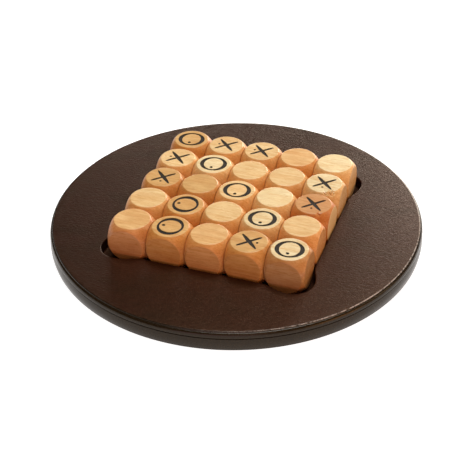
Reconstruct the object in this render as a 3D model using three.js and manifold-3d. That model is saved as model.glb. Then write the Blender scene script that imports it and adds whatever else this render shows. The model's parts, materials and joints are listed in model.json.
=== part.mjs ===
// A noughts and crosses set for the table: a round moulded board with a shallow square recess,
// and a square of loose wooden cubes that stand in it. Every cube has a cross stamped on one face
// and a nought on the opposite face, and each mark has a small dot beside it. The faces are flat
// discs, because the cubes are tumbled to a sphere that only just misses the middle of each edge.
// Units are millimetres. +Z is up, +X runs along the rows and +Y points to the back row.
// The origin is the centre of the board's underside.

import * as THREE from 'three';
import { ConvexGeometry } from 'three/addons/geometries/ConvexGeometry.js';
import { mergeVertices } from 'three/addons/utils/BufferGeometryUtils.js';
import Module from 'manifold-3d';

// Cubes
const CUBE_EDGE = 27.7;
const CUBE_GAP = 0.3; // between neighbouring cubes
const EDGE_INSET = 1.45; // from the edge of the cube to the flat disc of a face
const DISC_SIDES = 16;

// Marks
const MARK_DEPTH = 0.3;
const RING_MARGIN = 2.4; // from the edge of the disc to the widest part of the nought
const RING_FLATTENING = 0.9; // the nought is this much less tall than wide, each side
const RING_THICK_STROKE = 3.1;
const RING_THIN_STROKE = 1.5;
const RING_DOT_OFFSET = 4.9;
const RING_DOT_RADIUS = 1.2;
const CROSS_MARGIN = 2.6; // from the edge of the disc to the end of a stroke
const CROSS_THICK_STROKE = 2.9;
const CROSS_THIN_STROKE = 2;
const CROSS_TIP = 0.9; // width of both strokes at their ends
const CROSS_DOT_OFFSET = 5.6;
const CROSS_DOT_RADIUS = 0.85;
const RING_SIDES = 20;
const DOT_SIDES = 6;
const STROKE_CURVE_SEGMENTS = 2; // along each curved side of a stroke

// Board
const BOARD_RADIUS = 132.5;
const BOARD_THICKNESS = 14.2;
const BOARD_SEGMENTS = 72;

// Recess. The block of cubes stands a little towards the right and the back of it.
const RECESS_DEPTH = 8;
const RIGHT_GAP = 0.4; // from the block of cubes to the straight part of the wall
const LEFT_GAP = 1.9;
const BACK_GAP = 0.45;
const FRONT_GAP = 1.85;
const LOBE_REACH = 4.7; // each corner is cut this much further out than the straight walls
const LOBE_RADIUS = 13.5;
const LOBE_BLEND = 22; // length of wall that curves out to meet a lobe
const RECESS_CURVE_SEGMENTS = 4; // along each blend, and twice as many round each lobe

// Moulding round the rim, from the top face down
const TOP_FACE_INSET = 2.2; // from the widest part of the board to the edge of the top face
const QUIRK_DEPTH = 1; // small step round the top face
const QUIRK_WIDTH = 0.3;
const ROLL_HEIGHT = 3.2; // quarter-round roll under the step
const ROLL_INSET = 0.3; // from the widest part of the board to the foot of the roll
const CREASE_DEPTH = 0.9; // groove between the roll and the side
const CREASE_HEIGHT = 1;
const SIDE_BULGE = 0.6; // the side is a shallow arc that stands out this far
const FOOT_CHAMFER = 0.9;
const ROLL_STEPS = 3;
const SIDE_STEPS = 2;

// The face that is up on each cube, from the back row to the front row. The letter is the mark,
// and the sign after it is the side that its dot is on: v for the front, < for the left and > for
// the right. On a plain cube the marks are on two side faces: = turns them to the left and the
// right, and # to the front and the back.
const LAYOUT = [
  ['Ov', 'X<', 'X<', '#', '#'],
  ['X<', 'Ov', '#', '#', 'Xv'],
  ['Xv', '#', 'Ov', '#', 'Xv'],
  ['#', 'O<', '#', 'Ov', '#'],
  ['=', 'O<', '=', 'X>', 'Ov'],
];

// Wood tone of each cube, in the same order
const TONES = [
  ['amber', 'peach', 'peach', 'honey', 'cream'],
  ['peach', 'cream', 'peach', 'peach', 'cream'],
  ['amber', 'amber', 'peach', 'cream', 'russet'],
  ['peach', 'amber', 'peach', 'cream', 'peach'],
  ['honey', 'amber', 'honey', 'amber', 'cream'],
];

const WOOD = {
  cream: 0xf2d7a8,
  peach: 0xeec58c,
  honey: 0xe6b477,
  amber: 0xdcaa69,
  russet: 0xd09257,
};
const LACQUER = 0x3d2721;

const DOT_ANGLES = { v: -Math.PI / 2, '<': Math.PI, '>': 0 };
const cubesPerSide = LAYOUT.length;
const pitch = CUBE_EDGE + CUBE_GAP;
const blockWidth = cubesPerSide * pitch - CUBE_GAP;
const discRadius = CUBE_EDGE / 2 - EDGE_INSET;
const recessHalfX = (blockWidth + LEFT_GAP + RIGHT_GAP) / 2;
const recessHalfY = (blockWidth + FRONT_GAP + BACK_GAP) / 2;
const blockCentreX = (LEFT_GAP - RIGHT_GAP) / 2;
const blockCentreY = (FRONT_GAP - BACK_GAP) / 2;
const recessFloor = BOARD_THICKNESS - RECESS_DEPTH;

const wasm = await Module();
wasm.setup();

function toSolid(geometry) {
  const bare = geometry.clone();
  bare.deleteAttribute('normal');
  bare.deleteAttribute('uv');
  const merged = mergeVertices(bare);
  return new wasm.Manifold(
    new wasm.Mesh({
      numProp: 3,
      vertProperties: merged.attributes.position.array,
      triVerts: new Uint32Array(merged.index.array),
    }),
  );
}

function toGeometry(solid) {
  const mesh = solid.getMesh();
  const geometry = new THREE.BufferGeometry();
  geometry.setAttribute('position', new THREE.BufferAttribute(mesh.vertProperties, 3));
  geometry.setIndex(new THREE.BufferAttribute(mesh.triVerts, 1));
  geometry.computeVertexNormals();
  return geometry;
}

// ---- Board ----

// Half section of the board, from the middle of the underside out, up the rim and back to the axis
function boardProfile() {
  const profile = [new THREE.Vector2(0, 0)];
  const stepTop = BOARD_THICKNESS - QUIRK_DEPTH;
  const rollFoot = stepTop - ROLL_HEIGHT;
  const sideTop = rollFoot - CREASE_HEIGHT;
  const sideRadius = BOARD_RADIUS - SIDE_BULGE;
  const rollRadius = BOARD_RADIUS - ROLL_INSET;
  const rollStart = BOARD_RADIUS - TOP_FACE_INSET + QUIRK_WIDTH;
  profile.push(new THREE.Vector2(sideRadius - FOOT_CHAMFER, 0));
  for (let step = 0; step <= SIDE_STEPS; step++) {
    const share = step / SIDE_STEPS;
    profile.push(
      new THREE.Vector2(
        sideRadius + SIDE_BULGE * Math.sin(Math.PI * share),
        THREE.MathUtils.lerp(FOOT_CHAMFER, sideTop, share),
      ),
    );
  }
  profile.push(new THREE.Vector2(rollRadius - CREASE_DEPTH, rollFoot - CREASE_HEIGHT / 2));
  for (let step = 0; step <= ROLL_STEPS; step++) {
    const angle = (Math.PI / 2) * (step / ROLL_STEPS);
    profile.push(
      new THREE.Vector2(
        rollStart + (rollRadius - rollStart) * Math.cos(angle),
        rollFoot + ROLL_HEIGHT * Math.sin(angle),
      ),
    );
  }
  profile.push(new THREE.Vector2(BOARD_RADIUS - TOP_FACE_INSET, BOARD_THICKNESS));
  profile.push(new THREE.Vector2(0, BOARD_THICKNESS));
  return profile;
}

// Plan of the recess: four straight walls, each curving out at both ends into a round corner lobe
function recessOutline() {
  const outline = new THREE.Shape();
  const lobeCentre = LOBE_REACH - LOBE_RADIUS;
  for (let corner = 0; corner < 4; corner++) {
    const turn = (corner * Math.PI) / 2;
    const [along, across] = corner % 2 ? [recessHalfY, recessHalfX] : [recessHalfX, recessHalfY];
    const place = (u, v) => [
      u * Math.cos(turn) - v * Math.sin(turn),
      u * Math.sin(turn) + v * Math.cos(turn),
    ];
    const lobeAlong = along + lobeCentre;
    const lobeAcross = across + lobeCentre;
    const start = place(along, lobeAcross - LOBE_BLEND);
    if (corner === 0) outline.moveTo(...start);
    else outline.lineTo(...start);
    outline.bezierCurveTo(
      ...place(along, lobeAcross - LOBE_BLEND / 2),
      ...place(along + LOBE_REACH, lobeAcross - LOBE_BLEND / 2),
      ...place(along + LOBE_REACH, lobeAcross),
    );
    outline.absarc(...place(lobeAlong, lobeAcross), LOBE_RADIUS, turn, turn + Math.PI / 2, false);
    outline.bezierCurveTo(
      ...place(lobeAlong - LOBE_BLEND / 2, across + LOBE_REACH),
      ...place(lobeAlong - LOBE_BLEND / 2, across),
      ...place(lobeAlong - LOBE_BLEND, across),
    );
  }
  outline.closePath();
  return outline;
}

function makeBoard() {
  const disc = new THREE.LatheGeometry(boardProfile(), BOARD_SEGMENTS).rotateX(Math.PI / 2);
  const cut = new THREE.ExtrudeGeometry(recessOutline(), {
    depth: BOARD_THICKNESS,
    bevelEnabled: false,
    curveSegments: RECESS_CURVE_SEGMENTS,
  }).translate(0, 0, recessFloor);
  return toGeometry(toSolid(disc).subtract(toSolid(cut)));
}

// ---- Cubes ----

// Six flat discs and the eight corners between them, all on one sphere
function cubeBody() {
  const half = CUBE_EDGE / 2;
  const sphereRadius = Math.hypot(half, discRadius);
  const points = [];
  for (let side = 0; side < DISC_SIDES; side++) {
    const angle = (2 * Math.PI * side) / DISC_SIDES;
    const u = discRadius * Math.cos(angle);
    const v = discRadius * Math.sin(angle);
    for (const w of [-half, half]) {
      points.push(new THREE.Vector3(u, v, w), new THREE.Vector3(v, w, u));
      points.push(new THREE.Vector3(w, u, v));
    }
  }
  const corner = sphereRadius / Math.sqrt(3);
  for (const x of [-corner, corner]) {
    for (const y of [-corner, corner]) {
      for (const z of [-corner, corner]) points.push(new THREE.Vector3(x, y, z));
    }
  }
  return toSolid(new ConvexGeometry(points));
}

// A solid that cuts a mark into the upper face. An arc gets twice curveSegments sides in a full turn.
function extrudeMark(shape, curveSegments) {
  return toSolid(
    new THREE.ExtrudeGeometry(shape, {
      depth: 2 * MARK_DEPTH,
      bevelEnabled: false,
      curveSegments,
    }).translate(0, 0, CUBE_EDGE / 2 - MARK_DEPTH),
  );
}

function dotAt(offset, radius, angle) {
  const dot = new THREE.Shape();
  dot.absarc(offset * Math.cos(angle), offset * Math.sin(angle), radius, 0, 2 * Math.PI, false);
  return extrudeMark(dot, DOT_SIDES / 2);
}

// One stroke of the cross: pointed ends and a full middle, turned about the middle of the face
function stroke(width, angle) {
  const halfLength = discRadius - CROSS_MARGIN;
  const outline = new THREE.Shape();
  outline.moveTo(-halfLength, -CROSS_TIP / 2);
  outline.quadraticCurveTo(0, CROSS_TIP / 2 - width, halfLength, -CROSS_TIP / 2);
  outline.lineTo(halfLength, CROSS_TIP / 2);
  outline.quadraticCurveTo(0, width - CROSS_TIP / 2, -halfLength, CROSS_TIP / 2);
  outline.closePath();
  return extrudeMark(outline, STROKE_CURVE_SEGMENTS).rotate([0, 0, angle]);
}

// The thick stroke always falls to the right, whichever side the dot is on.
function crossMark(dotAngle) {
  return stroke(CROSS_THICK_STROKE, -45)
    .add(stroke(CROSS_THIN_STROKE, 45))
    .add(dotAt(CROSS_DOT_OFFSET, CROSS_DOT_RADIUS, dotAngle));
}

// The nought turns with its dot, which is next to one of the thin parts of the ring.
function noughtMark(dotAngle) {
  const halfWidth = discRadius - RING_MARGIN;
  const halfHeight = halfWidth - RING_FLATTENING;
  const turn = dotAngle + Math.PI / 2;
  const ring = new THREE.Shape();
  ring.absellipse(0, 0, halfWidth, halfHeight, 0, 2 * Math.PI, false, turn);
  const hole = new THREE.Path();
  const holeWidth = halfWidth - RING_THICK_STROKE;
  const holeHeight = halfHeight - RING_THIN_STROKE;
  hole.absellipse(0, 0, holeWidth, holeHeight, 0, 2 * Math.PI, true, turn);
  ring.holes.push(hole);
  return extrudeMark(ring, RING_SIDES / 2).add(
    dotAt(RING_DOT_OFFSET, RING_DOT_RADIUS, dotAngle),
  );
}

// The mark on the upper face comes first, and the other one is under the cube.
function makeCube(placing) {
  const [mark, dotSide = 'v'] = placing;
  const dotAngle = DOT_ANGLES[dotSide];
  const noughtUp = mark === 'O';
  const upper = noughtUp ? noughtMark(dotAngle) : crossMark(dotAngle);
  const lower = noughtUp ? crossMark(dotAngle) : noughtMark(dotAngle);
  const cube = cubeBody().subtract(upper).subtract(lower.rotate([180, 0, 0]));
  if (mark === '#') return toGeometry(cube.rotate([90, 0, 0]));
  if (mark === '=') return toGeometry(cube.rotate([0, 90, 0]));
  return toGeometry(cube);
}

// ---- Assembly ----

const set = new THREE.Group();

const lacquer = new THREE.MeshStandardMaterial({ color: LACQUER, roughness: 0.35, metalness: 0 });
const board = new THREE.Mesh(makeBoard(), lacquer);
board.name = 'board';
set.add(board);

const block = new THREE.Group();
block.position.set(blockCentreX, blockCentreY, recessFloor + CUBE_EDGE / 2);
set.add(block);

const middle = (cubesPerSide - 1) / 2;
LAYOUT.forEach((row, rowIndex) => {
  row.forEach((placing, columnIndex) => {
    const wood = new THREE.MeshStandardMaterial({
      color: WOOD[TONES[rowIndex][columnIndex]],
      roughness: 0.5,
      metalness: 0,
    });
    const cube = new THREE.Mesh(makeCube(placing), wood);
    cube.name = `cube_row${rowIndex + 1}_col${columnIndex + 1}`;
    cube.position.set((columnIndex - middle) * pitch, (middle - rowIndex) * pitch, 0);
    block.add(cube);
  });
});

export default set;
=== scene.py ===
"""Looks for the noughts and crosses set: a lacquered round board and 25 tumbled wooden cubes with
stamped marks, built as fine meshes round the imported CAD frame. Lengths are in metres, +Z is up."""

import json
import math
import random

import bpy
import numpy as np
from mathutils import Matrix, Vector, geometry, noise


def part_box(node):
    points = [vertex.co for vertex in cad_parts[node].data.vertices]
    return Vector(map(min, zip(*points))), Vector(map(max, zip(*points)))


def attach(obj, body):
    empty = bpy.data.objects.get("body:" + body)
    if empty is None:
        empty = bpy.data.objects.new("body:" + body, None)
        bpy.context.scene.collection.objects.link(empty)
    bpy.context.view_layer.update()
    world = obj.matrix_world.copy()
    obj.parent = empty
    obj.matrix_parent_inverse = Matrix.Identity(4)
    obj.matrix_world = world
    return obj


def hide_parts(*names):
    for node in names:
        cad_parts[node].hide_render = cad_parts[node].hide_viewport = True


MM = 0.001

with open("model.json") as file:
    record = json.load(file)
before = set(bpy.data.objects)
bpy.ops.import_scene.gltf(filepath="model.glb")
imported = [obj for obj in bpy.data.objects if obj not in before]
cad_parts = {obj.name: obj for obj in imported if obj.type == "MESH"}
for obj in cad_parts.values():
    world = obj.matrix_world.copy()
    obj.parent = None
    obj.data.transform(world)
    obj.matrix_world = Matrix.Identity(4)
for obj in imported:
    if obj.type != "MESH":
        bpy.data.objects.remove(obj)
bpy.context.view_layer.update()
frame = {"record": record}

# ---- Sizes from the frame ----

board_low, board_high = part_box("board")
BOARD_RADIUS = (board_high.x - board_low.x) / 2
BOARD_TOP = board_high.z
ROWS = 5
COLUMNS = 5
cube_low, cube_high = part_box("cube_row1_col1")
CUBE_EDGE = cube_high.x - cube_low.x
RECESS_FLOOR = cube_low.z
corner_boxes = [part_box(f"cube_row{row}_col{column}") for row in (1, ROWS) for column in (1, COLUMNS)]
block_low = Vector([min(low[i] for low, high in corner_boxes) for i in range(3)])
block_high = Vector([max(high[i] for low, high in corner_boxes) for i in range(3)])
block_centre = (block_low + block_high) / 2

# ---- Sizes that the frame's boxes don't hold, as in the CAD model ----

EDGE_INSET = 1.45 * MM  # from the edge of a cube to the flat disc of its face
RIGHT_GAP = 0.4 * MM  # from the block of cubes to the straight part of the recess wall
FRONT_GAP = 1.85 * MM
LOBE_REACH = 4.7 * MM
LOBE_RADIUS = 13.5 * MM
LOBE_BLEND = 22 * MM
TOP_FACE_INSET = 2.2 * MM
QUIRK_DEPTH = 1 * MM
QUIRK_WIDTH = 0.3 * MM
ROLL_HEIGHT = 3.2 * MM
ROLL_INSET = 0.3 * MM
CREASE_DEPTH = 0.9 * MM
CREASE_HEIGHT = 1 * MM
SIDE_BULGE = 0.6 * MM
FOOT_RADIUS = 0.9 * MM
MARK_DEPTH = 0.3 * MM
RING_MARGIN = 2.4 * MM
RING_FLATTENING = 0.9 * MM
RING_THICK_STROKE = 3.1 * MM
RING_THIN_STROKE = 1.5 * MM
RING_DOT_OFFSET = 4.9 * MM
RING_DOT_RADIUS = 1.2 * MM
CROSS_MARGIN = 2.6 * MM
CROSS_THICK_STROKE = 2.9 * MM
CROSS_THIN_STROKE = 2 * MM
CROSS_TIP = 0.9 * MM
CROSS_DOT_OFFSET = 5.6 * MM
CROSS_DOT_RADIUS = 0.85 * MM

# ---- Softening that only the fine meshes have ----

DISC_FILLET = 0.9 * MM  # between a cube's flat faces and its tumbled corners
RECESS_ARRIS = 0.7 * MM
RECESS_FILLET = 1.0 * MM
TOP_ARRIS = 0.55 * MM
STEP_ROUND = 0.1 * MM  # at the foot of the small step round the top face
DEEP_DENT = (math.radians(-38), 1.5 * MM, 0.35 * MM)  # its place round the rim, size and depth
SMALL_DENTS = 16

# ---- Points of the fine meshes ----

BOARD_COLUMNS = 720
CUBE_COLUMNS = 96
STRAIGHT_STEPS = 60
BLEND_STEPS = 40
LOBE_STEPS = 60
FILLET_STEPS = 5
STROKE_STEPS = 32

# Rings of points on the board's flat stretches, as shares of the way across each stretch
FLOOR_SHARES = (0.1, 0.3, 0.5, 0.7, 0.85, 0.96, 1.0)
WALL_SHARES = (0.3, 0.65, 0.9)
TOP_SHARES = (0.015, 0.06, 0.15, 0.3, 0.45, 0.6, 0.75, 0.88, 0.96, 0.99)
UNDERSIDE_SHARES = (0.97, 0.8, 0.55, 0.3, 0.1)

# The face that is up on each cube, from the back row to the front row. The letter is the mark,
# and the sign is the side that its dot is on. On a plain cube the marks are on two side faces:
# = has them on the left and the right, and # on the front and the back.
LAYOUT = (
    ("Ov", "X<", "X<", "#", "#"),
    ("X<", "Ov", "#", "#", "Xv"),
    ("Xv", "#", "Ov", "#", "Xv"),
    ("#", "O<", "#", "Ov", "#"),
    ("=", "O<", "=", "X>", "Ov"),
)
DOT_ANGLES = {"v": -math.pi / 2, "<": math.pi, ">": 0.0}

# The faces that the cross and the nought are on, for each letter of the layout
MARKED_FACES = {"X": ("top", "bottom"), "O": ("bottom", "top"), "#": ("front", "back"),
                "=": ("left", "right")}

# The axis that each cube's grain runs along, from the back row to the front row
GRAIN = ("xyyxx", "yxyxy", "xyxyx", "xxyyx", "zxxxz")

# Extra tint of the painted side shade against the top, on the cubes whose sides come out darker or redder
# than most
SIDE_SHADE_TINT = {(5, 5): (0.68, 0.54, 0.44), (5, 1): (0.9, 0.86, 0.96), (4, 5): (1, 0.92, 0.9)}
NO_TINT = (1, 1, 1)
PALE_RIGHT = (3, 5)  # the dark cube with a face of pale sapwood on its right side
SAPWOOD = "ffdca0"

# Broken bits along the edge of the upper face, on two cubes: angle in degrees, and size
CHIPS = {(2, 5): ((-52, 3.4 * MM), (-70, 2.2 * MM)), (3, 5): ((-58, 2.0 * MM),)}
CHIP_DEPTH = 0.75  # as a share of its size

# Lacquer tones, from one slow patch to the next, and the tint of their shine
TOP_LACQUER = ("1d1209", "27130c", "20130a")
TOP_SHINE = (1.0, 0.47, 0.22, 1)
EDGE_LACQUER = ("20180a", "241a0b", "20180a")
EDGE_SHINE = (1.0, 0.92, 0.8, 1)
# Pale colour of the rubbed top edge, which also stands in as its painted highlight
RUBBED_EDGE_HIGHLIGHT = "cfc4bb"

# The camera: azimuth, elevation and roll in degrees, lens in millimetres, and its place from the
# middle of the block's upper side
CAMERA_ANGLES = (19.866, 35.433, -0.987)
CAMERA_LENS = 85.54
CAMERA_FROM_BLOCK = (0.2248, -0.6249, 0.4324)
FLOOR_HALF = 12.0
FLOOR_DROP = 0.2 * MM  # keeps the floor clear of the underside


def from_srgb(parts):
    """The linear colour of sRGB shares of red, green and blue."""
    return tuple(p / 12.92 if p <= 0.04045 else ((p + 0.055) / 1.055) ** 2.4 for p in parts) + (1.0,)


def linear(hex_colour):
    """The linear colour of an sRGB hex code."""
    return from_srgb([int(hex_colour[i:i + 2], 16) / 255 for i in (0, 2, 4)])


# ---- Mesh helpers ----


def add_object(name, vertices, faces, materials, slots=None, sharp_degrees=32):
    """A smooth-shaded mesh object, with edges sharper than the angle kept sharp."""
    mesh = bpy.data.meshes.new(name)
    mesh.from_pydata([tuple(v) for v in vertices], [], faces)
    mesh.validate()
    for material in materials:
        mesh.materials.append(material)
    if slots:
        mesh.polygons.foreach_set("material_index", slots)
    mesh.polygons.foreach_set("use_smooth", [True] * len(mesh.polygons))
    mesh.set_sharp_from_angle(angle=math.radians(sharp_degrees))
    mesh.update()
    obj = bpy.data.objects.new(name, mesh)
    bpy.context.scene.collection.objects.link(obj)
    return obj


def arc(centre, radii, start, end, steps):
    """Points of an elliptical arc in a plane, both ends included, from and to angles in degrees."""
    angles = np.radians(np.linspace(start, end, steps + 1))
    return [(centre[0] + radii[0] * math.cos(a), centre[1] + radii[1] * math.sin(a)) for a in angles]


def bezier(points, steps):
    """Points of the cubic curve with the four control points."""
    t = np.linspace(0, 1, steps + 1)[:, None]
    p = [np.array(q) for q in points]
    return (1 - t) ** 3 * p[0] + 3 * t * (1 - t) ** 2 * p[1] + 3 * t ** 2 * (1 - t) * p[2] + t ** 3 * p[3]


# ---- Board ----


def recess_outline(columns):
    """Points of the recess's plan at even angles round its centre, and their outward normals."""
    half_x = block_high.x + RIGHT_GAP
    half_y = FRONT_GAP - block_low.y
    dense = []
    for corner in range(4):
        along, across = (half_y, half_x) if corner % 2 else (half_x, half_y)
        lobe_along = along + LOBE_REACH - LOBE_RADIUS
        lobe_across = across + LOBE_REACH - LOBE_RADIUS
        start = lobe_across - LOBE_BLEND
        middle = lobe_across - LOBE_BLEND / 2
        stretch = [np.array([(along, v) for v in np.linspace(-start, start, STRAIGHT_STEPS)])]
        stretch.append(bezier([(along, start), (along, middle), (along + LOBE_REACH, middle),
                               (along + LOBE_REACH, lobe_across)], BLEND_STEPS))
        lobe = arc((lobe_along, lobe_across), (LOBE_RADIUS, LOBE_RADIUS), 0, 90, LOBE_STEPS)
        stretch.append(np.array(lobe))
        start = lobe_along - LOBE_BLEND
        middle = lobe_along - LOBE_BLEND / 2
        stretch.append(bezier([(lobe_along, across + LOBE_REACH), (middle, across + LOBE_REACH),
                               (middle, across), (start, across)], BLEND_STEPS))
        turn = corner * math.pi / 2
        spin = np.array([[math.cos(turn), math.sin(turn)], [-math.sin(turn), math.cos(turn)]])
        dense.append(np.concatenate(stretch) @ spin)
    dense = np.concatenate(dense)
    angles = np.arctan2(dense[:, 1], dense[:, 0])
    even = np.linspace(-math.pi, math.pi, columns, endpoint=False)
    order = np.argsort(angles)
    radius = np.interp(even, angles[order], np.hypot(*dense.T)[order], period=2 * math.pi)
    plan = np.stack([radius * np.cos(even), radius * np.sin(even)], 1)
    tangent = np.roll(plan, -1, 0) - np.roll(plan, 1, 0)
    tangent /= np.linalg.norm(tangent, axis=1)[:, None]
    outward = np.stack([tangent[:, 1], -tangent[:, 0]], 1)
    return even, plan, outward


def rim_profile():
    """Radius and height of the rim, from the edge of the top face down to the underside."""
    flat_end = BOARD_RADIUS - TOP_FACE_INSET
    step_foot = BOARD_TOP - QUIRK_DEPTH
    roll_foot = step_foot - ROLL_HEIGHT
    side_top = roll_foot - CREASE_HEIGHT
    side_radius = BOARD_RADIUS - SIDE_BULGE
    roll_radius = BOARD_RADIUS - ROLL_INSET
    roll_start = flat_end + QUIRK_WIDTH
    points = arc((flat_end - TOP_ARRIS, BOARD_TOP - TOP_ARRIS), (TOP_ARRIS, TOP_ARRIS), 90, 8, 4)
    points.append((flat_end + STEP_ROUND, step_foot + 1.5 * STEP_ROUND))
    points.append((roll_start - STEP_ROUND, step_foot + 0.2 * STEP_ROUND))
    points += arc((roll_start, roll_foot), (roll_radius - roll_start, ROLL_HEIGHT), 88, 0, 12)
    crease = roll_foot - CREASE_HEIGHT / 2
    points += arc((roll_radius, crease), (CREASE_DEPTH, CREASE_HEIGHT / 2), 110, 250, 6)[1:-1]
    points += [(side_radius + SIDE_BULGE * math.sin(math.pi * s), side_top + (FOOT_RADIUS - side_top) * s)
               for s in np.linspace(0, 0.94, 12)]
    points += arc((side_radius - FOOT_RADIUS, FOOT_RADIUS), (FOOT_RADIUS, FOOT_RADIUS), -10, -90, 5)
    return points


def board_rows():
    """Rings of points from the middle of the recess floor, up the wall and over the rim to the foot."""
    even, plan, outward = recess_outline(BOARD_COLUMNS)
    circle = np.stack([np.cos(even), np.sin(even)], 1)

    def ring(flat, height):
        return np.column_stack([flat, np.full(len(flat), height)])

    floor_edge = plan - outward * RECESS_FILLET
    rows = [ring(floor_edge * share, RECESS_FLOOR) for share in FLOOR_SHARES]
    for inward, height in arc((RECESS_FILLET, RECESS_FLOOR + RECESS_FILLET),
                              (RECESS_FILLET, RECESS_FILLET), 270, 180, 4)[1:]:
        rows.append(ring(plan - outward * inward, height))
    wall_foot, wall_top = RECESS_FLOOR + RECESS_FILLET, BOARD_TOP - RECESS_ARRIS
    for share in WALL_SHARES:
        rows.append(ring(plan, wall_foot + (wall_top - wall_foot) * share))
    for out, height in arc((RECESS_ARRIS, wall_top), (RECESS_ARRIS, RECESS_ARRIS), 180, 90, 5):
        rows.append(ring(plan + outward * out, height))
    inner = plan + outward * RECESS_ARRIS
    profile = rim_profile()
    outer = circle * profile[0][0]
    for share in TOP_SHARES:
        rows.append(ring(inner + (outer - inner) * share, BOARD_TOP))
    rows += [ring(circle * radius, height) for radius, height in profile]
    foot = circle * profile[-1][0]
    rows += [ring(foot * share, 0.0) for share in UNDERSIDE_SHARES]
    return rows


def wear_board(vertices):
    """Small dents along the edge of the top face, pressed inwards."""
    dice = random.Random(5)
    edge = BOARD_RADIUS - TOP_FACE_INSET
    dents = [DEEP_DENT]
    for _ in range(SMALL_DENTS):
        dents.append((dice.uniform(-math.pi, math.pi), dice.uniform(0.7, 1.5) * MM,
                      dice.uniform(0.08, 0.2) * MM))
    for angle, size, depth in dents:
        centre = np.array([edge * math.cos(angle), edge * math.sin(angle), BOARD_TOP])
        away = np.linalg.norm(vertices - centre, axis=1)
        near = away < size
        press = depth * (1 - (away[near] / size) ** 2)
        push = np.array([-math.cos(angle), -math.sin(angle), -1.0]) / math.sqrt(2)
        vertices[near] += push * press[:, None]
    return vertices


def make_board(top_material, edge_material):
    """The board as one swept mesh: the first material on the top and in the recess, the second on
    the rim and the underside."""
    rows = board_rows()
    first_edge_row = len(rows) - len(UNDERSIDE_SHARES) - len(rim_profile())
    count = BOARD_COLUMNS
    vertices = np.concatenate(rows)
    faces, slots = [], []
    for row in range(len(rows) - 1):
        slots += [1 if row >= first_edge_row else 0] * count
        for i in range(count):
            j = (i + 1) % count
            a, b = row * count, (row + 1) * count
            faces.append((a + i, b + i, b + j, a + j))
    centre_top, centre_foot = len(vertices), len(vertices) + 1
    last = (len(rows) - 1) * count
    for i in range(count):
        j = (i + 1) % count
        faces.append((centre_top, i, j))
        faces.append((centre_foot, last + j, last + i))
        slots += [0, 1]
    ends = np.array([(0, 0, RECESS_FLOOR), (0, 0, 0)])
    vertices = wear_board(np.concatenate([vertices, ends]))
    return add_object("lacquered_board", vertices, faces, [top_material, edge_material], slots, 50)


# ---- Marks: closed outlines in the plane of a face, in metres, with +Y up ----


def rough_edge(points, seed, amount=0.05 * MM):
    """The outline with the slight unevenness of a stamped mark."""
    moved = []
    for x, y in points:
        here = Vector((x / MM * 0.9, y / MM * 0.9, seed * 7.3))
        push = noise.noise_vector(here) * amount
        moved.append((x + push.x, y + push.y))
    return moved


def ellipse(centre, radii, turn, steps):
    """Points of an ellipse turned about its own middle."""
    points = []
    for k in range(steps):
        a = 2 * math.pi * k / steps
        x, y = radii[0] * math.cos(a), radii[1] * math.sin(a)
        points.append((centre[0] + x * math.cos(turn) - y * math.sin(turn),
                       centre[1] + x * math.sin(turn) + y * math.cos(turn)))
    return points


def stroke(half_length, width, turn, fullness):
    """A brush-like stroke with narrow, rounded ends and a full middle."""
    side = []
    for t in np.linspace(-1, 1, STROKE_STEPS + 1):
        swell = 1 - abs(t) ** fullness
        blunt = min(1.0, math.sqrt(max(0.0, 1 - abs(t) ** 24)) + 0.3)
        side.append((half_length * t, -(CROSS_TIP + (width - CROSS_TIP) * swell) * blunt / 2))
    points = side + [(x, -y) for x, y in reversed(side)]
    return [(x * math.cos(turn) - y * math.sin(turn), x * math.sin(turn) + y * math.cos(turn))
            for x, y in points]


def nought(disc_radius, dot_angle, seed):
    """A ring that is thicker at two sides, with a dot inside it: outlines, and what each one adds."""
    half_width = disc_radius - RING_MARGIN
    half_height = half_width - RING_FLATTENING
    turn = dot_angle + math.pi / 2
    outer = ellipse((0, 0), (half_width, half_height), turn, 96)
    inner = ellipse((0, 0), (half_width - RING_THICK_STROKE, half_height - RING_THIN_STROKE), turn, 80)
    dot_place = (RING_DOT_OFFSET * math.cos(dot_angle), RING_DOT_OFFSET * math.sin(dot_angle))
    dot = ellipse(dot_place, (RING_DOT_RADIUS, RING_DOT_RADIUS), 0, 20)
    return [rough_edge(outer, seed), rough_edge(inner, seed + 1), rough_edge(dot, seed + 2)], (1, -1, 1)


def cross(disc_radius, dot_angle, seed):
    """A thick and a thin stroke that cross, with a dot between them: outlines, and what each adds."""
    half_length = disc_radius - CROSS_MARGIN
    thick = stroke(half_length, CROSS_THICK_STROKE, math.radians(-45), 2.0)
    thin = stroke(half_length, CROSS_THIN_STROKE, math.radians(45), 6.0)
    dot_place = (CROSS_DOT_OFFSET * math.cos(dot_angle), CROSS_DOT_OFFSET * math.sin(dot_angle))
    dot = ellipse(dot_place, (CROSS_DOT_RADIUS, CROSS_DOT_RADIUS), 0, 16)
    return [rough_edge(thick, seed), rough_edge(thin, seed + 1), rough_edge(dot, seed + 2)], (1, 1, 1)


def inside(points, outline):
    """Which of the points lie inside the closed outline."""
    x, y = points[:, 0], points[:, 1]
    hit = np.zeros(len(points), bool)
    ring = np.array(outline)
    for (x1, y1), (x2, y2) in zip(ring, np.roll(ring, -1, 0)):
        if y1 == y2:
            continue
        crosses = (y1 > y) != (y2 > y)
        hit ^= crosses & (x < (x2 - x1) * (y - y1) / (y2 - y1) + x1)
    return hit


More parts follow.
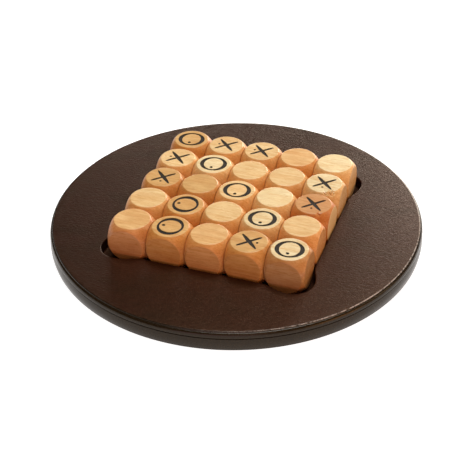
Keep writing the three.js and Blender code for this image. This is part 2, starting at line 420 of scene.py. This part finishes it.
def stamped_disc(rim, outlines, signs):
    """The flat disc inside the rim points, with the outlines pressed in: 3-D points with the face
    at height 0, faces, the faces' material slots, and the places of the rim points in the list."""
    loops = [rim] + outlines
    flat = [Vector(p) / MM for loop in loops for p in loop]
    edges = []
    start = 0
    for loop in loops:
        edges += [(start + i, start + (i + 1) % len(loop)) for i in range(len(loop))]
        start += len(loop)
    found = geometry.delaunay_2d_cdt(flat, edges, [], 0, 1e-5)
    points = np.array([tuple(p) for p in found[0]]) * MM
    triangles = [tuple(f) for f in found[2]]
    centres = np.array([points[list(t)].mean(0) for t in triangles])
    level = np.zeros(len(triangles), int)
    for outline, sign in zip(outlines, signs):
        level = np.where(inside(centres, outline), level + sign, level)
    pressed = level > 0
    vertices = [(x, y, 0.0) for x, y in points]
    lowered = {}

    def low(index):
        if index not in lowered:
            lowered[index] = len(vertices)
            vertices.append((points[index][0], points[index][1], -MARK_DEPTH))
        return lowered[index]

    sides = {}
    for triangle, down in zip(triangles, pressed):
        for k in range(3):
            sides[(triangle[k], triangle[(k + 1) % 3])] = down
    faces, slots = [], []
    for triangle, down in zip(triangles, pressed):
        faces.append(tuple(low(i) for i in triangle) if down else triangle)
        slots.append(1 if down else 0)
        if not down:
            continue
        for k in range(3):
            a, b = triangle[k], triangle[(k + 1) % 3]
            if sides.get((b, a)) is False or (b, a) not in sides:
                faces.append((low(b), low(a), a, b))
                slots.append(1)
    rim_places = [next(i for i, source in enumerate(found[3]) if k in source) for k in range(len(rim))]
    return vertices, faces, slots, rim_places


# ---- Cubes ----

FACES = {
    "top": Matrix.Identity(3),
    "bottom": Matrix.Rotation(math.pi, 3, "X"),
    "front": Matrix.Rotation(math.pi / 2, 3, "X"),
    "back": Matrix.Rotation(math.pi, 3, "Z") @ Matrix.Rotation(math.pi / 2, 3, "X"),
    "right": Matrix.Rotation(math.pi / 2, 3, "Z") @ Matrix.Rotation(math.pi / 2, 3, "X"),
    "left": Matrix.Rotation(-math.pi / 2, 3, "Z") @ Matrix.Rotation(math.pi / 2, 3, "X"),
}
HALF = CUBE_EDGE / 2
DISC_RADIUS = HALF - EDGE_INSET
SPHERE = math.hypot(HALF, DISC_RADIUS)
FILLET_CENTRE = math.sqrt((SPHERE - DISC_FILLET) ** 2 - (HALF - DISC_FILLET) ** 2)
FILLET_END = math.atan2(FILLET_CENTRE, HALF - DISC_FILLET)


def face_sheet(mark, columns):
    """One sixth of a cube, seen from straight above its face: the disc, its fillet and the piece of
    sphere out to the seams with the four neighbouring faces."""
    angles = [2 * math.pi * k / columns for k in range(columns)]
    support = FILLET_CENTRE - 0.12 * MM
    rim = [(support * math.cos(a), support * math.sin(a)) for a in angles]
    if mark:
        flat, faces, slots, ring = stamped_disc(rim, *mark)
        vertices = [(x, y, z + HALF) for x, y, z in flat]
    else:
        vertices, faces = [(0.0, 0.0, HALF)], []
        rings = []
        for share in (0.3, 0.6, 0.85, 1.0):
            rings.append(range(len(vertices), len(vertices) + columns))
            vertices += [(share * x, share * y, HALF) for x, y in rim]
        for k in range(columns):
            nxt = (k + 1) % columns
            faces.append((0, rings[0][k], rings[0][nxt]))
            for inner, outer in zip(rings, rings[1:]):
                faces.append((inner[k], outer[k], outer[nxt], inner[nxt]))
        slots = [0] * len(faces)
        ring = rings[-1]
    stations = []
    for step in range(FILLET_STEPS + 1):
        tilt = FILLET_END * step / FILLET_STEPS
        stations.append((None, FILLET_CENTRE + DISC_FILLET * math.sin(tilt),
                         HALF - DISC_FILLET + DISC_FILLET * math.cos(tilt)))
    stations += [(share, 0, 0) for share in (0.2, 0.4, 0.6, 0.8, 1.0)]
    for share, out, height in stations:
        new_ring = range(len(vertices), len(vertices) + columns)
        for a in angles:
            if share is None:
                vertices.append((out * math.cos(a), out * math.sin(a), height))
                continue
            seam = math.atan2(1.0, max(abs(math.cos(a)), abs(math.sin(a))))
            tilt = FILLET_END + (seam - FILLET_END) * share
            vertices.append((SPHERE * math.sin(tilt) * math.cos(a), SPHERE * math.sin(tilt) * math.sin(a),
                             SPHERE * math.cos(tilt)))
        for k in range(columns):
            nxt = (k + 1) % columns
            faces.append((ring[k], new_ring[k], new_ring[nxt], ring[nxt]))
        slots += [0] * columns
        ring = new_ring
    return vertices, faces, slots


def cube_marks(placing, seed):
    """The mark on each face of a cube, by face name."""
    dot_angle = DOT_ANGLES.get(placing[1:], -math.pi / 2)
    a_cross = cross(DISC_RADIUS, dot_angle, seed)
    a_nought = nought(DISC_RADIUS, dot_angle, seed + 40)
    cross_face, nought_face = MARKED_FACES[placing[0]]
    return {cross_face: a_cross, nought_face: a_nought}


def weld(vertices, faces):
    """Joins points that lie on each other, where the six sheets of a cube meet."""
    keys = {}
    places = []
    kept = []
    for v in vertices:
        key = tuple(round(c / (0.002 * MM)) for c in v)
        if key not in keys:
            keys[key] = len(kept)
            kept.append(v)
        places.append(keys[key])
    return kept, [tuple(places[i] for i in f) for f in faces]


def chip_edge(vertices, spots):
    """Presses the broken bits into the edge of the upper face."""
    rim_radius = FILLET_CENTRE + 0.6 * MM
    for angle, size in spots:
        a = math.radians(angle)
        centre = np.array([rim_radius * math.cos(a), rim_radius * math.sin(a), HALF])
        for i, v in enumerate(vertices):
            away = np.linalg.norm(np.array(v) - centre)
            if away >= size:
                continue
            bite = 0.25 + 0.75 * noise.noise(Vector(v) / (0.7 * MM))
            depth = CHIP_DEPTH * size * (1 - (away / size) ** 2) * max(bite, 0.05)
            inwards = -Vector((math.cos(a), math.sin(a), 1.6)).normalized()
            vertices[i] = tuple(Vector(v) + inwards * depth)
    return vertices


def make_cube(row, column, wood, ink):
    """A tumbled cube at its place in the frame, with its marks and any chips."""
    low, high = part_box(f"cube_row{row}_col{column}")
    centre = (low + high) / 2
    columns = CUBE_COLUMNS * (2 if (row, column) in CHIPS else 1)
    marks = cube_marks(LAYOUT[row - 1][column - 1], row * 100 + column * 10)
    vertices, faces, slots = [], [], []
    for name, turn in FACES.items():
        sheet, sheet_faces, sheet_slots = face_sheet(marks.get(name), columns)
        start = len(vertices)
        vertices += [tuple(turn @ Vector(v)) for v in sheet]
        faces += [tuple(i + start for i in f) for f in sheet_faces]
        slots += sheet_slots
    vertices, faces = weld(vertices, faces)
    vertices = chip_edge(vertices, CHIPS.get((row, column), ()))
    placed = [tuple(Vector(v) + centre) for v in vertices]
    return add_object(f"wooden_cube_row{row}_col{column}", placed, faces, [wood, ink], slots)


# ---- Materials ----


class Nodes:
    """Short calls for building a material's node tree."""

    def __init__(self, name):
        self.material = bpy.data.materials.new(name)
        self.material.use_nodes = True
        self.tree = self.material.node_tree
        self.tree.nodes.clear()
        self.output = self.add("ShaderNodeOutputMaterial")
        self.surface = self.add("ShaderNodeBsdfPrincipled")
        self.join(self.surface, "BSDF", self.output, "Surface")
        self.coordinates = self.add("ShaderNodeTexCoord")

    def add(self, kind, **settings):
        node = self.tree.nodes.new(kind)
        for key, value in settings.items():
            setattr(node, key, value)
        return node

    def join(self, source, output, target, socket):
        self.tree.links.new(source.outputs[output], target.inputs[socket])

    def fade(self, source, output, start, end, top=1.0, shape="LINEAR"):
        """0 up to the start, rising to the top value at the end."""
        node = self.add("ShaderNodeMapRange", interpolation_type=shape)
        node.inputs["From Min"].default_value = start
        node.inputs["From Max"].default_value = end
        node.inputs["To Max"].default_value = top
        self.join(source, output, node, "Value")
        return node

    def mapping(self, scale, turn=(0, 0, 0), shift=(0, 0, 0)):
        """Object coordinates, turned, then scaled per millimetre."""
        node = self.add("ShaderNodeMapping")
        node.inputs["Location"].default_value = shift
        node.inputs["Rotation"].default_value = turn
        node.inputs["Scale"].default_value = [s / MM for s in scale]
        self.join(self.coordinates, "Object", node, "Vector")
        return node

    def noise(self, vector, scale=1.0, detail=3.0, roughness=0.5, distortion=0.0):
        node = self.add("ShaderNodeTexNoise")
        node.inputs["Scale"].default_value = scale
        node.inputs["Detail"].default_value = detail
        node.inputs["Roughness"].default_value = roughness
        node.inputs["Distortion"].default_value = distortion
        self.join(vector, "Vector", node, "Vector")
        return node

    def ramp(self, source, output, stops):
        """A colour ramp of (position, colour) stops, where a number makes a grey."""
        node = self.add("ShaderNodeValToRGB")
        elements = node.color_ramp.elements
        while len(elements) < len(stops):
            elements.new(0.5)
        for element, (position, colour) in zip(elements, stops):
            element.position = position
            element.color = colour if isinstance(colour, tuple) else (colour, colour, colour, 1)
        self.join(source, output, node, "Fac")
        return node

    def mix(self, factor, a, b, blend="MIX"):
        """Mixes two colours. factor, a and b are (node, output) or a plain value."""
        node = self.add("ShaderNodeMix", data_type="RGBA", blend_type=blend)
        for socket, value in ((0, factor), (6, a), (7, b)):
            if isinstance(value, tuple) and not isinstance(value[0], (int, float)):
                self.tree.links.new(value[0].outputs[value[1]], node.inputs[socket])
            else:
                node.inputs[socket].default_value = value
        return node

    def bump(self, source, output, distance, strength=1.0, after=None):
        node = self.add("ShaderNodeBump")
        node.inputs["Strength"].default_value = strength
        node.inputs["Distance"].default_value = distance
        self.join(source, output, node, "Height")
        if after:
            self.join(after, "Normal", node, "Normal")
        return node


def tinted(colour, tint):
    return tuple(c * t for c, t in zip(colour, tint)) + (1.0,)


def beech(name, tone, axis, seed, side_shade_tint=NO_TINT, pale_right=False):
    """Pale varnished beech. The grain runs along the axis, with fine fibres, short ray flecks and
    soft growth bands; across the grain the same patterns show as end grain. The sides and tumbled
    corners are painted darker and more orange than the top, as painted shade and bounce light."""
    dice = random.Random(seed)
    turn = {"x": (0, 0, 0), "y": (0, 0, math.pi / 2), "z": (0, math.pi / 2, 0)}[axis]
    turn = tuple(t + dice.uniform(-0.1, 0.1) for t in turn)
    shift = tuple(dice.uniform(-40, 40) for _ in range(3))
    base = tinted(from_srgb(tone), [dice.uniform(0.96, 1.04)] * 3)
    n = Nodes(name)
    fibre_place = n.mapping((0.1, 0.95, 0.95), turn, shift)
    fibres = n.noise(fibre_place, detail=5, roughness=0.65)
    band_place = n.mapping((0.03, 0.22, 0.22), turn, shift)
    bands = n.noise(band_place, detail=3, distortion=0.8)
    fleck_place = n.mapping((0.35, 2.2, 1.3), turn, shift)
    flecks = n.noise(fleck_place, detail=1, roughness=0.4)
    cloud_place = n.mapping((0.09, 0.09, 0.09), turn, shift)
    clouds = n.noise(cloud_place, detail=2)
    band_tone = n.ramp(bands, "Fac", [(0.32, tinted(base, (0.96, 0.96, 0.84))),
                                      (0.62, tinted(base, (1.04, 1.19, 1.28)))])
    fibre_tone = n.ramp(fibres, "Fac", [(0.34, (0.86, 0.76, 0.58, 1)), (0.62, (1.04, 1.07, 1.13, 1))])
    fleck_tone = n.ramp(flecks, "Fac", [(0.6, 1.0), (0.7, (0.84, 0.7, 0.52, 1))])
    cloud_tone = n.ramp(clouds, "Fac", [(0.35, (0.95, 0.91, 0.86, 1)), (0.65, (1.03, 1.03, 1.03, 1))])
    colour = n.mix(0.75, (band_tone, "Color"), (fibre_tone, "Color"), "MULTIPLY")
    colour = n.mix(0.7, (colour, 2), (fleck_tone, "Color"), "MULTIPLY")
    colour = n.mix(1.0, (colour, 2), (cloud_tone, "Color"), "MULTIPLY")
    facing = n.add("ShaderNodeSeparateXYZ")
    n.join(n.coordinates, "Normal", facing, "Vector")
    upright = n.add("ShaderNodeMath", operation="ABSOLUTE")
    n.join(facing, "Z", upright, 0)
    # Painted shade and glow: faces that lean away from the top, most of all the tumbled corners, get a
    # darker, more orange tone, as if shaded and lit by light bounced between the cubes; the side shade
    # tint deepens it on a few cubes
    painted_side_shade = n.ramp(upright, "Value", [
        (0.1, tinted((0.97, 0.77, 0.63), side_shade_tint)),
        (0.35, tinted((0.93, 0.65, 0.44), side_shade_tint)),
        (0.62, tinted((0.93, 0.64, 0.42), side_shade_tint)),
        (0.84, tinted((0.98, 0.82, 0.65), side_shade_tint)),
        (0.97, 1.0),
    ])
    colour = n.mix(1.0, (colour, 2), (painted_side_shade, "Color"), "MULTIPLY")
    if pale_right:
        on_right = n.ramp(facing, "X", [(0.88, 0.0), (0.96, 0.92)])
        colour = n.mix((on_right, "Color"), (colour, 2), linear(SAPWOOD))
    n.join(colour, 2, n.surface, "Base Color")
    gloss = n.ramp(fibres, "Fac", [(0.3, 0.52), (0.7, 0.4)])
    n.join(gloss, "Color", n.surface, "Roughness")
    bump = n.bump(fibres, "Fac", 0.03 * MM, 0.5)
    n.join(bump, "Normal", n.surface, "Normal")
    n.surface.inputs["Coat Weight"].default_value = 0.35
    n.surface.inputs["Coat Roughness"].default_value = 0.2
    n.surface.inputs["Specular IOR Level"].default_value = 0.35
    return n.material


def stamped_ink():
    """Dark grey-brown ink pressed into the wood, a little worn and uneven."""
    n = Nodes("stamped_ink")
    place = n.mapping((1.0, 1.0, 1.0))
    patches = n.noise(place, scale=0.9, detail=4, roughness=0.65)
    tone = n.ramp(patches, "Fac", [(0.25, linear("221d17")), (0.6, linear("2e271f")),
                                   (0.8, linear("5a452f"))])
    n.join(tone, "Color", n.surface, "Base Color")
    gloss = n.ramp(patches, "Fac", [(0.3, 0.6), (0.7, 0.75)])
    n.join(gloss, "Color", n.surface, "Roughness")
    bump = n.bump(patches, "Fac", 0.05 * MM, 0.6)
    n.join(bump, "Normal", n.surface, "Normal")
    n.surface.inputs["Specular IOR Level"].default_value = 0.25
    return n.material


def rubbed_edge_highlight(n):
    """A broken pale line along the edge of the top face: lacquer rubbed thin, and a painted
    highlight that fades out from the right side of the board to the left: 0 for sound lacquer, up to 1
    for bare."""
    place = n.add("ShaderNodeSeparateXYZ")
    n.join(n.coordinates, "Object", place, "Vector")
    flat = n.add("ShaderNodeVectorMath", operation="MULTIPLY")
    flat.inputs[1].default_value = (1, 1, 0)
    n.join(n.coordinates, "Object", flat, 0)
    radius = n.add("ShaderNodeVectorMath", operation="LENGTH")
    n.join(flat, "Vector", radius, 0)
    edge = BOARD_RADIUS - TOP_FACE_INSET
    band = n.fade(radius, "Value", edge - 0.75 * MM, edge - 0.3 * MM)
    level = n.fade(place, "Z", BOARD_TOP - 0.6 * MM, BOARD_TOP - 0.35 * MM)
    # Stronger towards +X, the right side, where the light catches the edge: painted highlight
    side = n.fade(place, "X", 0.1 * BOARD_RADIUS, 0.9 * BOARD_RADIUS, 0.8, "SMOOTHSTEP")
    rub_place = n.mapping((0.6, 0.6, 0.6))
    rubs = n.noise(rub_place, detail=3, roughness=0.6)
    broken = n.fade(rubs, "Fac", 0.34, 0.56)
    share = band
    for part in (level, side, broken):
        product = n.add("ShaderNodeMath", operation="MULTIPLY")
        n.join(share, 0, product, 0)
        n.join(part, "Result", product, 1)
        share = product
    return share


def lacquer(name, tones, tint, gloss, shine, relief, rubbed_lit_edge=False):
    """Dark brown semi-gloss lacquer over open-grained wood: pebbles and fine pores along the grain
    as deep as the relief, slow changes of tone, a few dark specks and, if asked, a pale rubbed edge
    that is partly a painted highlight."""
    n = Nodes(name)
    pebble_place = n.mapping((0.55, 1.0, 1.0))
    pebbles = n.noise(pebble_place, scale=0.8, detail=3, roughness=0.6)
    pore_place = n.mapping((0.35, 2.4, 2.4), (0, 0, 0.12))
    pores = n.noise(pore_place, detail=2, roughness=0.5)
    slow_place = n.mapping((0.02, 0.035, 0.03), (0, 0, 0.3))
    slow = n.noise(slow_place, detail=3, distortion=0.6)
    speck_place = n.mapping((1.0, 1.0, 1.0))
    specks = n.add("ShaderNodeTexVoronoi", feature="F1", distance="EUCLIDEAN")
    specks.inputs["Scale"].default_value = 0.045
    n.join(speck_place, "Vector", specks, "Vector")
    tone = n.ramp(slow, "Fac", [(stop, linear(code)) for stop, code in zip((0.3, 0.55, 0.75), tones)])
    pebble_tone = n.ramp(pebbles, "Fac", [(0.35, (0.78, 0.76, 0.74, 1)), (0.65, (1.2, 1.18, 1.15, 1))])
    speck_tone = n.ramp(specks, "Distance", [(0.018, 0.25), (0.03, 1.0)])
    colour = n.mix(1.0, (tone, "Color"), (pebble_tone, "Color"), "MULTIPLY")
    colour = n.mix(1.0, (colour, 2), (speck_tone, "Color"), "MULTIPLY")
    # Pale rubbed edge that is partly a painted highlight
    if rubbed_lit_edge:
        colour = n.mix((rubbed_edge_highlight(n), "Value"), (colour, 2), linear(RUBBED_EDGE_HIGHLIGHT))
    n.join(colour, 2, n.surface, "Base Color")
    dullness = n.ramp(pebbles, "Fac", [(0.3, gloss[0]), (0.7, gloss[1])])
    n.join(dullness, "Color", n.surface, "Roughness")
    coarse = n.bump(pebbles, "Fac", 0.15 * MM, relief)
    fine = n.bump(pores, "Fac", 0.07 * MM, relief, coarse)
    n.join(fine, "Normal", n.surface, "Normal")
    n.join(fine, "Normal", n.surface, "Coat Normal")
    n.surface.inputs["Coat Weight"].default_value = 0.06
    n.surface.inputs["Coat Roughness"].default_value = 0.16
    n.surface.inputs["Specular IOR Level"].default_value = shine
    n.surface.inputs["Specular Tint"].default_value = tint
    return n.material


def studio_floor():
    """A pale grey that also glows, so that the floor comes out as plain white ground."""
    n = Nodes("studio_floor")
    n.surface.inputs["Base Color"].default_value = (0.5, 0.5, 0.5, 1)
    n.surface.inputs["Emission Color"].default_value = (1, 1, 1, 1)
    n.surface.inputs["Emission Strength"].default_value = 1.0
    n.surface.inputs["Roughness"].default_value = 0.9
    n.surface.inputs["Specular IOR Level"].default_value = 0.0
    return n.material


# ---- The set ----


def build_set():
    """Every piece of the set, each riding on the body of its own node."""
    top_lacquer = lacquer("brown_lacquer", TOP_LACQUER, TOP_SHINE,
                          gloss=(0.31, 0.37), shine=0.3, relief=1.0)
    edge_lacquer = lacquer("edge_lacquer", EDGE_LACQUER, EDGE_SHINE,
                           gloss=(0.24, 0.28), shine=0.22, relief=0.15, rubbed_lit_edge=True)
    board = make_board(top_lacquer, edge_lacquer)
    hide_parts("board")
    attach(board, "board")
    ink = stamped_ink()
    slots = {part["node"]: part["material_slot"] for part in frame["record"]["subparts"]}
    tones = {entry["slot"]: entry["base_color"] for entry in frame["record"]["materials"]}
    for row in range(1, ROWS + 1):
        for column in range(1, COLUMNS + 1):
            node = f"cube_row{row}_col{column}"
            wood = beech(f"beech_row{row}_col{column}", tones[slots[node]], GRAIN[row - 1][column - 1],
                         10 * row + column, SIDE_SHADE_TINT.get((row, column), NO_TINT),
                         (row, column) == PALE_RIGHT)
            cube = make_cube(row, column, wood, ink)
            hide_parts(node)
            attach(cube, node)


# ---- Stage, light and camera ----


def add_floor():
    corners = [(x * FLOOR_HALF, y * FLOOR_HALF, 0) for x, y in ((-1, -1), (1, -1), (1, 1), (-1, 1))]
    floor = add_object("studio_floor", corners, [(0, 1, 2, 3)], [studio_floor()])
    floor.location.z = -FLOOR_DROP


def add_light(name, place, target, size, power, colour=(1, 1, 1)):
    data = bpy.data.lights.new(name, "AREA")
    data.shape = "RECTANGLE"
    data.size, data.size_y = size
    data.energy = power
    data.color = colour
    lamp = bpy.data.objects.new(name, data)
    lamp.location = place
    lamp.rotation_euler = (Vector(place) - Vector(target)).to_track_quat("Z", "Y").to_euler()
    bpy.context.scene.collection.objects.link(lamp)


def add_lights():
    world = bpy.data.worlds.new("studio")
    world.use_nodes = True
    background = world.node_tree.nodes["Background"]
    background.inputs["Color"].default_value = (1.0, 0.72, 0.54, 1)
    background.inputs["Strength"].default_value = 0.1
    bpy.context.scene.world = world
    add_light("key", (0.16, 1.42, 0.48), (0, 0, 0), (0.55, 0.36), 7, (1.0, 0.9, 0.8))
    add_light("backdrop", (-0.22, 1.5, 0.16), (0, 0, 0.05), (1.5, 0.3), 12, (1.0, 0.84, 0.7))
    add_light("overhead", (0.0, 0.45, 1.35), (0, 0, 0), (0.6, 0.6), 14.3, (1.0, 0.99, 0.97))
    add_light("side_strip", (1.25, 0.45, 0.75), (0, 0, 0), (0.13, 0.9), 3.2, (1.0, 0.76, 0.5))
    add_light("warm_right", (1.4, -0.4, 0.15), (0, 0, 0.02), (0.8, 0.3), 4.2, (1.0, 0.42, 0.1))
    add_light("warm_front", (0.5, -1.0, 0.9), (0, 0, 0), (0.7, 0.5), 2.0, (1.0, 0.6, 0.42))
    add_light("front_fill", (0.2, -1.4, 0.2), (0, 0, 0.02), (1.2, 0.4), 2.8, (1.0, 0.64, 0.76))


def add_camera():
    azimuth, elevation, roll = (math.radians(d) for d in CAMERA_ANGLES)
    turn = (Matrix.Rotation(azimuth, 4, "Z") @ Matrix.Rotation(math.pi / 2 - elevation, 4, "X")
            @ Matrix.Rotation(roll, 4, "Z"))
    data = bpy.data.cameras.new("camera")
    data.lens = CAMERA_LENS
    data.sensor_width = 36
    data.clip_start = 0.01
    camera = bpy.data.objects.new("camera", data)
    aim = Vector((block_centre.x, block_centre.y, block_high.z))
    camera.matrix_world = Matrix.Translation(aim + Vector(CAMERA_FROM_BLOCK)) @ turn
    bpy.context.scene.collection.objects.link(camera)
    bpy.context.scene.camera = camera


build_set()
add_floor()
add_lights()
add_camera()
bpy.context.scene.view_settings.view_transform = "Standard"
